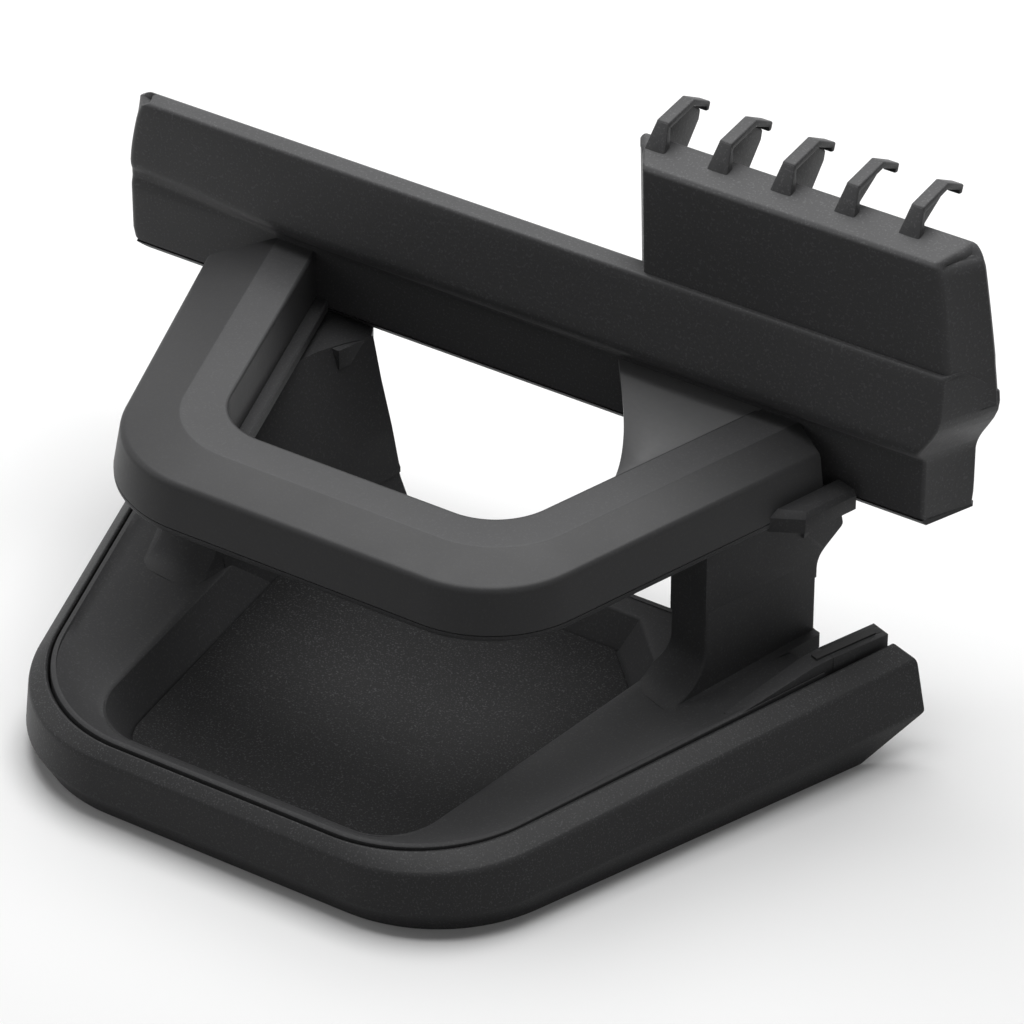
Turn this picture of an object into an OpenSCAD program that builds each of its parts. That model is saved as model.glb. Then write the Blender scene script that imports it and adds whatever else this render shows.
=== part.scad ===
// Cup holder that hangs on a dashboard: a long bar with a hooked plate, a ring and a tray below it.
// X runs along the bar, Y runs back to the dashboard, Z is up.
// The origin lies on the resting plane, straight below the middle of the cup.

/* [Ring] */
// Height of the ring's top face above the resting plane
ring_z = 78; // [70:0.5:100]
// Half width of the cup opening at the cup axis
open_half = 53.2; // [48:0.2:60]
// Cup axis to the front edge of the opening
open_front = 37.6; // [34:0.2:46]
// Outward flare of the ring's arms towards the bar, in degrees
ring_flare = 17.2; // [10:0.2:20]
// Corner radius of the opening
open_r = 18; // [12:0.5:24]
// Width of the flat band round the opening
band_w = 11.2; // [8:0.2:16]
// Width of the slope in front of the band
slope_front = 13; // [9:0.2:16]
// Width of the slope on the left arm
slope_left = 16.6; // [12:0.2:18]
// Width of the slope on the right arm
slope_right = 10.5; // [8:0.2:14]
// Outward flare of the left arm's outer edge, in degrees
edge_flare = 19.1; // [17.2:0.1:21]
// Drop of the slope
slope_drop = 2.7; // [1.5:0.1:4]
// Outward draft of the ring's outer wall
ring_draft = 2; // [0:0.1:3]
// Height of the ring cover
cover_h = 14.6; // [14:0.2:15]
// Start of the corner web, from the cup axis along Y
scoop_y = -3; // [-10:0.5:4]
// Centre plane to the end of the corner web at the bar
scoop_x = 25.5; // [18:0.5:34]
// Drop of the corner web below the ring's top face
web_drop = 1; // [0.4:0.1:2]

/* [Bar] */
// Cup axis to the bar's lower front face
bar_y = 40; // [38:0.5:48]
// Centre plane to the bar's left end
bar_left = 123.8; // [115:0.2:130]
// Centre plane to the bar's right end, at its lower front corner
bar_right = 112.4; // [105:0.2:118]
// Drop from the ring's top face to the bar's underside
bar_drop = 17.8; // [15:0.1:20]
// Depth of the bar
bar_d = 14.8; // [13:0.2:20]
// Height of the recessed lower face
lower_h = 22.3; // [18:0.1:24]
// Height of the main face above the recess
face_h = 22.6; // [18:0.5:28]
// Overhang of the main face over the recess
overhang = 4.6; // [2:0.2:6]
// Set-back of the main face at its top edge
face_lean = 3.9; // [1:0.1:6]
// Depth of the bar's top strip
strip_d = 5.7; // [3:0.1:7]
// Sweep of both ends towards the rear, in degrees
end_sweep = 22; // [5:1:25]
// Bulge of the right end over its lower part
end_bulge = 7; // [4:0.2:10]
// Inward lean of the left end over its upper part
left_taper = 4.2; // [1:0.2:6]
// Wall of the bar cover
bar_wall = 2.2; // [1.6:0.1:3]

/* [Plate] */
// Centre plane to the plate's left edge
plate_left = 31.4; // [20:0.5:45]
// Height of the plate above the bar
plate_h = 30.2; // [20:0.2:40]
// Rise of the plate's top face towards the rear
plate_rise = 1.2; // [0:0.1:2]
// Step from the bar's face back to the plate's face
plate_step = 1.2; // [0.6:0.1:2]
// Inward lean of the plate's right end over its height
plate_taper = 8; // [4:0.2:10]

/* [Claws] */
// Number of claws on the plate
claw_n = 5; // [3:1:5]
// Number of claws that have a web, from the left
web_n = 3; // [0:1:5]
// Distance from one claw to the next
claw_pitch = 17.8; // [14:0.2:18]
// Plate's left edge to the first claw
claw_first = -2; // [-3:0.5:4]
// Width of a claw
claw_w = 3.6; // [2.5:0.1:5]
// Rise of a claw above the plate
claw_rise = 6.8; // [4:0.2:9]
// Reach of a claw behind the plate
claw_reach = 17.4; // [10:0.2:20]
// Thickness of a claw
claw_t = 1.9; // [1.4:0.1:2.6]
// Thickness of the web under a claw
web_t = 1.4; // [1:0.1:2]

/* [Tray] */
// Cup axis to the front of the rim
rim_front_y = 95; // [88:0.2:104]
// Cup axis to the rim's right side
rim_half = 94.5; // [90:0.5:98]
// Cup axis to the rim's left side
rim_left = 89; // [86:0.2:94]
// Outward flare of the rim's right side, in degrees
rim_flare = 20.7; // [17:0.1:21]
// Outward flare of the rim's left side, in degrees
rim_flare_left = 15.6; // [14:0.2:19]
// Corner radius of the rim
rim_r = 40; // [32:1:44]
// Flare of the bumper's right side, in degrees
flare_right = 21; // [20.7:0.1:23]
// Flare of the bumper's left side, in degrees
flare_left = 15.6; // [14:0.2:19]
// Height of the rim at the front
rim_front = 19.5; // [16:0.5:24]
// Rise of the rim from the front to the rear
rim_rise = 8; // [0:0.5:12]
// Width of the bumper at the front
bumper_w = 5.8; // [5:0.1:8]
// Width of the bumper at the left
bumper_left = 5.2; // [4.4:0.1:8]
// Width of the bumper at the right
bumper_right = 10.5; // [8:0.1:12]
// Drop from the rim to the bumper's upper crease
crease_drop = 2.7; // [1:0.1:5]
// Height of the bumper's lower chamfer
foot_h = 6.5; // [4:0.2:8]
// Set-back of the bumper's lower chamfer
foot_in = 3; // [1:0.2:4]
// Thickness of the base plate
base_t = 3; // [2.6:0.1:4]
// Height of the well's edge above the resting plane
well_z = 15; // [13:0.5:16]
// Cup axis to the front edge of the well
well_front = 87; // [80:0.5:90]
// Cup axis to the well's right side
well_half = 61; // [52:0.5:62]
// Cup axis to the well's left side
well_left = 53.2; // [50:0.2:58]
// Corner radius of the well
well_r = 16; // [10:1:22]
// Draft of the well's wall
well_in = 3.5; // [1:0.5:6]
// Draft of the well's left wall
well_in_left = 6; // [2:0.5:7]
// Thickness of the floor mat
mat_t = 1.4; // [1:0.1:2]
// Wall of the holder frame
frame_wall = 2; // [1.8:0.1:2.4]
// Width of the right pillar
pillar_w = 13; // [10:0.5:15]
// Depth of the right pillar
pillar_d = 36.2; // [28:0.2:38]
// Projection of the tab on the right pillar
tab_w = 6.5; // [4:0.5:8]
// Length of the tab
tab_l = 17; // [12:0.5:20]
// Thickness of the tab
tab_t = 5; // [3:0.2:6]
// Centre plane to the left pillar's inner face, at its rear top
left_in = 46.8; // [44:0.2:50]
// Depth of the left pillar
left_d = 58; // [50:1:60]
// Radius at the foot of the pillars
foot_r = 12; // [6:0.5:14]
// Length of the rails at the rear of the rim
rail_l = 17; // [12:0.5:20]
// Width of the rails
rail_w = 5.6; // [5.2:0.2:9]
// Height of the rails above the rim
rail_h = 2.6; // [2:0.2:4]

/* [Fasteners] */
// Diameter of the screw shanks
screw_d = 2.6; // [2:0.1:3]
// Diameter of the screw heads
head_d = 5.2; // [4.4:0.1:6]
// Length of the screw shanks
screw_l = 9; // [8:0.5:11]
// Thickness of the foam pads on the back
pad_t = 2; // [1:0.1:3]
// Length of the foam pads
pad_l = 56; // [40:1:60]

/* [Hidden] */
$fn = 32;
arc_n = 10;
far = 60;

// Clearances and fastener holes
clear = 0.2;
mat_gap = 0.3;
pilot_d = screw_d;
hole_d = screw_d + 2 * clear;
seat_d = head_d + 2 * clear;
head_h = 1.8;
boss_d = 6.4;

// Heights of the bar and the plate
bar_z = ring_z - bar_drop;
fold_z = bar_z + lower_h;
bar_top = fold_z + face_h;
plate_top = bar_top + plate_h;
bulge_z = fold_z + 11;
neck_z = fold_z - 5;
lip_h = 1.7;
back_t = 3;

// Depths of the bar and the plate
rear_y = bar_y + bar_d;
face_y = bar_y - overhang;
top_y = face_y + face_lean;
plate_y = top_y + plate_step;
plate_top_y = plate_y + 1.3;

// Ring
t_ring = tan(ring_flare);
t_edge = tan(edge_flare);
c_ring = cos(ring_flare);
frame_z = ring_z - cover_h;
ring_plate_t = 2.2;
ring_rear = bar_y;
lip_in = 3.4;
wall = 2.2;

// Tray: outlines flare by their tangents, and what is lifted rises to the rear with the rim
tray_front = rim_front_y + bumper_w;
rail_rear = bar_y - 5;
tray_rear = bar_y - 17;
well_rear = tray_rear - 7;
tilt = rim_rise / (tray_front + rail_rear);
floor_z = base_t + clear + frame_wall;
t_rim = tan(rim_flare);
t_rim_left = tan(rim_flare_left);
t_right = tan(flare_right);
t_left = tan(flare_left);
t_well = tan(10.8);
t_well_left = tan(3.4);
rear_rim_z = well_z + tilt * (tray_front + well_rear) + 0.4;
arm_w = rail_w + 1.2;

// Pillars and the brackets between them and the bar
pillar_x = open_half + t_ring * bar_y + (band_w + slope_right + ring_draft) / c_ring;
pillar_front = -43.4;
left_rear = bar_y - 2;
left_front = left_rear - left_d;
lean_in = 0.19;
turn_in = 0.24;
bracket_t = 6;
bracket_d = 22;
bracket_in = 12;
bracket_pitch = 12;

// Screw places: back screws as [x, z], the others as [x, y]
end_in = 16;
back_at = [for (x = [end_in - bar_left, -bar_left / 3, bar_right / 5, bar_right - end_in]) [x, fold_z + 9],
           for (x = [plate_left + end_in, bar_right - end_in]) [x, plate_top - end_in]];
bracket_at = [for (x = [-left_in - bracket_in, pillar_x - bracket_in], k = [0, 1])
    [x - k * bracket_pitch, bar_y + 6]];
ring_at = [for (s = [-1, 1]) each
    [[s * (open_half + band_w - 2), -2], [s * open_half / 2, -open_front - band_w]]];
base_at = [for (y = [-8, 45 - rim_front_y, 25 - rim_front_y], s = [-1, 1]) [mid_dish(s, y), y]];

// Middle of the dish between the well and the rim, on the side given by s
function mid_dish(s, y) = s > 0 ? (well_half + rim_half + (t_well + t_rim) * y) / 2
    : -(well_left + rim_left + (t_well_left + t_rim_left) * y) / 2;

function backwards(v) = [for (i = [len(v) - 1:-1:0]) v[i]];
function flat(v, z) = [for (p = v) [p[0], p[1], z]];
function lift(v, z) = [for (p = v) [p[0], p[1], z + tilt * (p[1] + tray_front)]];

// Front corner arc of an outline, on the side given by s
function corner(front, half, t, r, s, n) =
    let (a = atan(t), yc = r - front, xc = half + t * yc - r / cos(a))
    [for (i = [0:n]) let (q = -90 + (90 - a) * i / n) [s * (xc + r * cos(q)), yc + r * sin(q)]];

// Outline from the rear left round the front to the rear right
function horseshoe(front, left, right, tl, tr, r, rear, n = arc_n) = concat(
    [[-(left + tl * rear), rear]],
    backwards(corner(front, left, tl, r, -1, n)),
    corner(front, right, tr, r, 1, n),
    [[right + tr * rear, rear]]);

// The same with its rear corners cut off
function basin(front, left, right, tl, tr, r, rear, cut) = concat(
    [[-(left + tl * rear) + cut, rear]],
    horseshoe(front, left, right, tl, tr, r, rear - cut),
    [[right + tr * rear - cut, rear]]);

// Closed body through a stack of outlines with equal numbers of points. The ends of a band are closed
// by strips from its outer line to its inner line.
module loft(rings, band = false) {
    n = len(rings[0]);
    m = len(rings);
    top = (m - 1) * n;
    polyhedron(
        points = [for (r = rings) each r],
        faces = concat(
            band ? [for (i = [0:n / 2 - 2]) [i, i + 1, n - 2 - i, n - 1 - i]] : [[for (i = [0:n - 1]) i]],
            band ? [for (i = [0:n / 2 - 2]) [top + i, top + n - 1 - i, top + n - 2 - i, top + i + 1]]
                : [[for (i = [n - 1:-1:0]) top + i]],
            [for (k = [0:m - 2], i = [0:n - 1]) let (j = (i + 1) % n)
                [k * n + i, (k + 1) * n + i, (k + 1) * n + j]],
            [for (k = [0:m - 2], i = [0:n - 1]) let (j = (i + 1) % n)
                [k * n + i, (k + 1) * n + j, k * n + j]]),
        convexity = 8);
}

// Extrudes a side view, drawn as [y, z], along X
module along_x(x, w) {
    translate([x, 0, 0]) rotate([90, 0, 90]) linear_extrude(w) children();
}

// Extrudes a front view, drawn as [x, z], back along Y
module along_y(y, w) {
    translate([0, y + w, 0]) rotate([90, 0, 0]) linear_extrude(w) children();
}

// Ring outlines, set in from the opening's edge by the width given
function ring_line(w_left, w_right, w_front, r) = horseshoe(
    open_front + w_front, open_half + w_left / c_ring, open_half + w_right / c_ring,
    t_ring, t_ring, open_r + r, ring_rear);
function ring_inner(d = 0) = ring_line(d, d, d, d);
function ring_band() = ring_line(band_w, band_w, band_w, 7);
function ring_edge(d = 0) = let (
    front = open_front + band_w + slope_front + d,
    left = open_half + (band_w + slope_left + d) / c_ring - (t_edge - t_ring) * bar_y,
    right = open_half + (band_w + slope_right + d) / c_ring) concat(
    [[-left - t_edge * ring_rear, ring_rear]],
    backwards(corner(front, left, t_edge, open_r + 15, -1, arc_n)),
    corner(front, right, t_ring, open_r + 11, 1, arc_n),
    [[right + t_ring * ring_rear, ring_rear]]);
function u_band(outer, inner, z) = flat(concat(outer, backwards(inner)), z);

// Right end of the bar as [x, z] points, set in by w
function end_x(z) = z < neck_z ? bar_right
    : z < bulge_z ? bar_right + end_bulge * (1 - cos(180 * (z - neck_z) / (bulge_z - neck_z))) / 2
    : bar_right + end_bulge - plate_taper * pow((z - bulge_z) / (plate_top - bulge_z), 1.3);
module right_end(w) {
    x_in = w / cos(end_sweep);
    translate([0, bar_y, 0]) rotate([0, 0, -end_sweep]) along_y(-3 * far, 6 * far)
        polygon(concat(
            [[bar_right + far, bar_z - far], [cos(end_sweep) * (bar_right - x_in), bar_z - far]],
            [for (z = [neck_z:(bulge_z - neck_z) / 8:bulge_z]) [cos(end_sweep) * (end_x(z) - x_in), z]],
            [for (i = [1:8]) let (z = bulge_z + (plate_top - bulge_z) * i / 8)
                [cos(end_sweep) * (end_x(z) - x_in), z]],
            [[cos(end_sweep) * (end_x(plate_top) - x_in), plate_top + far],
             [bar_right + far, plate_top + far]]));
}
module left_end(w) {
    r = 5;
    x = -cos(end_sweep) * (bar_left - w / cos(end_sweep));
    translate([0, bar_y, 0]) rotate([0, 0, end_sweep]) along_y(-3 * far, 6 * far)
        polygon(concat(
            [[-bar_left - far, bar_z - far], [x + r, bar_z - far]],
            [for (q = [0:15:90]) [x + r - r * sin(q), bar_z + w + r - r * cos(q)]],
            [for (i = [0:6]) let (share = i / 6)
                [x + left_taper * pow(share, 1.4), fold_z + 3 + (bar_top - fold_z - 3) * share]],
            [[x + left_taper, bar_top + far], [-bar_left - far, bar_top + far]]));
}

// Space in front of the bar's left end, where the overhang fades out
module left_fade(w) {
    translate([0, 0, bar_z]) linear_extrude(face_h + lower_h - 2)
        polygon([[-bar_left + 60, face_y + w - 0.01], [-bar_left, face_y + w + overhang - 1],
            [-bar_left - 20, face_y + w + overhang], [-bar_left - 20, face_y - far],
            [-bar_left + 60, face_y - far]]);
}

// Body of the bar and the plate, set in by w from the front, the top and the ends
module bar_side_view(w, y_end, z_low) {
    back_slope = rear_y - top_y - strip_d;
    polygon([[bar_y + w, z_low], [bar_y + w, fold_z - 2], [face_y + w, fold_z + w / 2],
        [top_y + w, bar_top - w], [top_y + strip_d - w / 3, bar_top - w],
        [rear_y - w, bar_top - back_slope * 0.8 - w / 2], [y_end, bar_top - back_slope * 0.8 - w / 2],
        [y_end, z_low]]);
}
module plate_side_view(w, y_end, z_low) {
    polygon([[bar_y + w, z_low], [bar_y + w, fold_z - 2], [face_y + w, fold_z + w / 2],
        [top_y + w, bar_top - w], [plate_y + w, bar_top - w], [plate_top_y + w, plate_top - plate_rise - 1.2],
        [plate_top_y + 1.2 + w / 2, plate_top - plate_rise - w], [rear_y - w, plate_top - w],
        [y_end, plate_top - w], [y_end, z_low]]);
}
module plate_left_end(w) {
    translate([plate_left + w, bar_y, 0]) rotate([0, 0, 30]) translate([-3 * far, -far, bar_z - far])
        cube([3 * far, 4 * far, 4 * far]);
}
module bar_body(w, y_end, z_low) {
    difference() {
        union() {
            along_x(-bar_left - far / 2, bar_left + bar_right + far) bar_side_view(w, y_end, z_low);
            difference() {
                along_x(plate_left - far / 2, bar_right + far - plate_left)
                    plate_side_view(w, y_end, z_low);
                plate_left_end(w);
            }
        }
        right_end(w);
        left_end(w);
        left_fade(w);
    }
}

// One claw: a tapered stem, an arm over the dashboard's edge and a drooping tip
module claw() {
    y0 = rear_y - 6.8;
    y1 = rear_y - 2.1;
    y2 = rear_y + 9.7;
    y3 = rear_y + claw_reach;
    z0 = plate_top - plate_rise - 0.4;
    z1 = plate_top + claw_rise - 0.9;
    z2 = plate_top + claw_rise;
    along_x(-claw_w / 2, claw_w)
        polygon([[y0, z0], [y1, z1], [y2, z2], [y3, z2 - 4.4], [y3 - 0.8, z2 - 6.6],
            [y3 - 2.2, z2 - 6.2], [y3 - 2, z2 - 5], [y2 - 0.3, z2 - claw_t], [y1 + 1, z1 - claw_t],
            [y0 + 3, z0]]);
    intersection() {
        along_x(-claw_w, 2 * claw_w) polygon([[y0, z0], [y1, z1], [y1 + 1, z1 - claw_t], [y0 + 3, z0]]);
        along_y(y0 - 1, 12)
            polygon([[-claw_w / 2 - 1.3, z0], [claw_w / 2 + 1.3, z0],
                [claw_w / 2, z1], [-claw_w / 2, z1]]);
    }
}

// Thin web under a claw's arm, down the rear of the plate
module claw_web() {
    tip_y = rear_y + claw_reach;
    arm_z = plate_top + claw_rise - claw_t;
    along_x(-web_t / 2, web_t)
        polygon([[rear_y - 4.8, plate_top - 1.6], [rear_y - 1.1, arm_z - 0.9], [rear_y + 9.4, arm_z],
            [tip_y - 3, arm_z - 3.6], [tip_y - 3.6, arm_z - 6.1], [rear_y + 8.7, plate_top - 6.5],
            [rear_y + clear, plate_top - 10], [rear_y + clear, plate_top - 1.6]]);
}

module front_cover() {
    color("#2b2b2c") {
        difference() {
            bar_body(0, rear_y, bar_z + lip_h);
            bar_body(bar_wall, rear_y + 1, bar_z);
        }
        intersection() {
            bar_body(bar_wall / 2, rear_y, bar_z + lip_h);
            for (p = back_at) difference() {
                translate([p[0], rear_y - back_t, p[1]]) rotate([90, 0, 0]) cylinder(d = boss_d, h = far);
                translate([p[0], rear_y, p[1]]) rotate([90, 0, 0])
                    cylinder(d = pilot_d, h = back_t + screw_l);
            }
        }
        for (i = [0:claw_n - 1]) translate([plate_left + claw_first + i * claw_pitch, 0, 0]) {
            claw();
            if (i < web_n) claw_web();
        }
    }
}

module back_plate() {
    color("#232324") difference() {
        union() {
            intersection() {
                bar_body(bar_wall + clear, rear_y, bar_z + lip_h);
                translate([-3 * far, rear_y - back_t, bar_z]) cube([6 * far, back_t, 3 * far]);
            }
            difference() {
                along_x(-bar_left - far / 2, bar_left + bar_right + far)
                    polygon([[bar_y + 1.4, bar_z], [bar_y, bar_z + lip_h],
                        [rear_y, bar_z + lip_h], [rear_y, bar_z]]);
                right_end(0);
                left_end(0);
            }
            for (p = bracket_at) translate([p[0], p[1], bar_z]) cylinder(d = boss_d, h = 10);
        }
        for (p = back_at) {
            translate([p[0], rear_y + 1, p[1]]) rotate([90, 0, 0]) cylinder(d = hole_d, h = back_t + 2);
            translate([p[0], rear_y + 1, p[1]]) rotate([90, 0, 0]) cylinder(d = seat_d, h = 1 + head_h);
        }
        for (p = bracket_at) translate([p[0], p[1], bar_z - 1]) cylinder(d = pilot_d, h = 10);
    }
}

// Curve of the web that fills the ring's rear right corner, from the arm to the bar
function scoop(t) = let (x0 = open_half + t_ring * scoop_y, x2 = scoop_x)
    [x0 * (1 - t) * (1 - t) + 2 * (x0 - 5) * t * (1 - t) + x2 * t * t,
     scoop_y * (1 - t) * (1 - t) + 2 * (scoop_y + 15) * t * (1 - t) + ring_rear * t * t];

// Space behind the slanted rear ends of the ring's arms, moved forward by w
module arm_ends(w = 0) {
    x = -78 + 1.4 * w;
    y = bar_y + 0.01;
    translate([0, 0, frame_z - 2 * ring_plate_t]) linear_extrude(far) {
        polygon([[x, y], [x - 32, y - 34], [-2 * far, y - 34], [-2 * far, y]]);
        polygon([[79 - w, y], [79 - w, y - 2.5 - w], [110, y - 14 - w], [110, y]]);
    }
}

module ring_cover() {
    rear_in = ring_rear - wall;
    color("#4a4a4b") difference() {
        union() {
            difference() {
                loft([u_band(ring_edge(ring_draft), ring_inner(), frame_z),
                    u_band(ring_edge(), ring_inner(), ring_z - slope_drop),
                    u_band(ring_band(), ring_inner(), ring_z)], band = true);
                difference() {
                    loft([u_band(ring_edge(ring_draft - wall), ring_inner(wall), frame_z - 1),
                        u_band(ring_edge(-wall), ring_inner(wall), ring_z - slope_drop - wall),
                        u_band(ring_line(band_w - 0.6, band_w - 0.6, band_w - 0.6, 7),
                            ring_inner(wall), ring_z - wall)], band = true);
                    translate([-2 * far, rear_in, 0]) cube([4 * far, far, 2 * far]);
                    arm_ends(wall);
                }
            }
            translate([0, 0, ring_z - web_drop - wall]) linear_extrude(wall)
                polygon(concat([for (i = [0:10]) scoop(i / 10)],
                    [[open_half + t_ring * ring_rear + 3, ring_rear],
                     [open_half + t_ring * scoop_y + 3, scoop_y]]));
            translate([scoop_x, ring_rear - 1.8, ring_z - wall - 4])
                cube([open_half + t_ring * ring_rear + 2 - scoop_x, 1.8, wall + 4]);
            for (p = ring_at) translate([p[0], p[1], frame_z])
                cylinder(d = boss_d, h = cover_h - wall + 0.4);
        }
        for (p = ring_at) translate([p[0], p[1], frame_z - 1]) cylinder(d = pilot_d, h = screw_l);
        arm_ends();
    }
}

// Rim line of the tray, moved out by d on every side
function rim_line(d, rear = tray_rear) = horseshoe(
    rim_front_y + d, rim_left + d / cos(rim_flare_left), rim_half + d / cos(rim_flare),
    t_rim_left, t_rim, rim_r + d, rear);
function rim_basin(d) = basin(
    rim_front_y + d, rim_left + d / cos(rim_flare_left), rim_half + d / cos(rim_flare),
    t_rim_left, t_rim, rim_r + d, tray_rear + d, 6);
function well_line(d, d_left) = basin(
    well_front + d, well_left + d_left, well_half + d,
    t_well_left, t_well, well_r + d, well_rear + d, 14);

// Height of the tray's dished surface between the well's edge and the rim
function dish_z(x, y) = let (
    inner = x < 0 ? well_left + t_well_left * y : well_half + t_well * y,
    outer = x < 0 ? rim_left + t_rim_left * y : rim_half + t_rim * y,
    share = min(max((abs(x) - inner) / (outer - inner), 0), 1))
    well_z + (rim_front - well_z) * share + tilt * (y + tray_front);

// Outline of a pillar's foot, set h above the dish. On the right it keeps clear of the well.
function clear_of_well(p) = p[0] < 0 ? p[0] : max(p[0], well_half + t_well * p[1] + 2 * clear);
function on_dish(v, h) = [for (p = v) let (x = clear_of_well(p)) [x, p[1], dish_z(x, p[1]) + h]];

// Pillar on the right, in line with the ring's outer wall, with a tab and a bracket to the bar
function right_place(u, v) =
    [pillar_x + u * c_ring + v * sin(ring_flare), bar_y - u * sin(ring_flare) + v * c_ring];
function right_section(f) = let (
    u0 = -pillar_w - 0.7 * f, v0 = pillar_front - f, v1 = pillar_front + pillar_d)
    [for (p = [[u0, v0], [f / 5, v0], [f / 5, v1], [u0, v1]]) right_place(p[0], p[1])];
module right_pillar() {
    v1 = pillar_front + pillar_d;
    loft(concat([flat(on_dish(right_section(foot_r), 0), well_z - 1)],
        [for (q = [0:18:90])
            on_dish(right_section(foot_r * (1 - sin(q))), foot_r * (1 - cos(q)) - 0.6)],
        [flat(right_section(0), frame_z - 1)]));
    translate([pillar_x, bar_y, 0]) rotate([0, 0, -ring_flare]) {
        along_x(-pillar_w, pillar_w)
            polygon([[v1 - 3, bar_z], [0, bar_z], [0.3, bar_z - 4], [1.2, bar_z - 8],
                [v1 + 3, bar_z - 12], [v1 + 1, bar_z - 13.5], [v1, bar_z - 16], [v1 - 3, bar_z - 16]]);
        translate([0, 0, ring_z - 12 - tab_t]) {
            linear_extrude(frame_z - ring_z + 12 + tab_t)
                polygon([[-3, -tab_l - 6], [tab_w, -tab_l], [tab_w, -1], [-3, -1]]);
            linear_extrude(tab_t)
                polygon([[clear, -tab_l - 4.5], [tab_w, -tab_l], [tab_w, -1], [clear, -1]]);
        }
    }
}

// Broad pillar on the left, in line with the ring's wall, with a pocket open to the rear. Its inner face
// runs on down to the well's floor.
function left_inner(y, z) = -left_in + lean_in * (bar_z - z) + turn_in * (y - left_rear);
function left_outer(y) = 2.3 - (open_half + (band_w + slope_left + ring_draft) / c_ring
    - (t_edge - t_ring) * bar_y + t_edge * y);
function left_foot(f, w, y1, z) = let (y0 = left_front + w - f) [
    [left_outer(left_front) + w, y0], [left_inner(y0, z) - w, y0], [left_inner(y1, z) - w, y1],
    [max(left_outer(y1) - f / 3, -rim_left - t_rim_left * y1 + 2) + w, y1]];
module left_pillar_body(w, y1) {
    low = w > 0 ? 5 : -0.6;
    top = bar_z - (w > 0 ? 4 : 0);
    y0 = left_front + w;
    z_dish = well_z + 5;
    loft(concat([on_dish(left_foot(foot_r, w, y1, z_dish), low - 0.6)],
        [for (q = [0:18:90]) let (up = foot_r * (1 - cos(q)))
            on_dish(left_foot(foot_r * (1 - sin(q)), w, y1, z_dish + up), up + low)],
        [[[left_outer(y0) + w, y0, top], [left_inner(y0, top) - w, y0, top],
            [left_inner(y1, top) - w, y1, top], [left_outer(y1) + w, y1, top]]]));
}
// Rest of the left pillar, from the dish down to the well's floor, where it spreads a little
module left_infill(gap) {
    x0 = -well_left - 1;
    loft([for (q = [[floor_z - 0.5, 3.4], [well_z + 6, 0]]) let (z = q[0], more = q[1] + gap)
        [[x0, left_front, z], [left_inner(left_front, z) + more, left_front, z],
         [left_inner(left_rear, z) + more, left_rear, z], [x0, left_rear, z]]]);
}

// Rails on the rear ends of the rim. The rail's own frame has its outer rear corner at the origin.
module at_rail(s) {
    flare = s < 0 ? rim_flare_left : rim_flare;
    x = (s < 0 ? rim_left : rim_half) + tan(flare) * rail_rear - 0.4;
    mirror([s < 0 ? 1 : 0, 0, 0]) translate([x, rail_rear, rim_front + tilt * (tray_front + tray_rear)])
        rotate([0, 0, -flare]) children();
}
module rail(s) {
    at_rail(s) translate([-rail_w, -rail_l, -4]) cube([rail_w, rail_l, rail_h + 4]);
}
module rail_slot(s, gap, h) {
    at_rail(s) translate([1.5 - rail_w + gap, gap - rail_l - 4, rail_h - 2])
        cube([2.4 - 2 * gap, rail_l + 1.6 - 2 * gap, h]);
}

module tray_solid(w) {
    rim = lift(rim_basin(-w - clear), rim_front - w);
    loft([flat(rim_basin(-w - clear), base_t + clear - w),
        [for (p = rim) [p[0], p[1], p[1] > tray_rear - w - 2 ? rear_rim_z - w : p[2]]],
        lift(well_line(0, 0), well_z - w)]);
}
module well(w, z) {
    loft([lift(well_line(w - well_in, w - well_in_left), z), lift(well_line(w, w), well_z + 0.02 + w)]);
}
module rear_arm(s) {
    t = s < 0 ? t_rim_left : t_rim;
    half = (s < 0 ? rim_left : rim_half) - clear - 0.4;
    mirror([s < 0 ? 1 : 0, 0, 0]) translate([0, 0, base_t + clear])
        linear_extrude(rim_front + tilt * (tray_front + tray_rear) - base_t - clear)
        polygon([[half + t * well_rear, well_rear], [half + t * rail_rear, rail_rear],
            [half - arm_w + t * rail_rear, rail_rear], [half - arm_w - 4 + t * tray_rear, well_rear]]);
}

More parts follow.
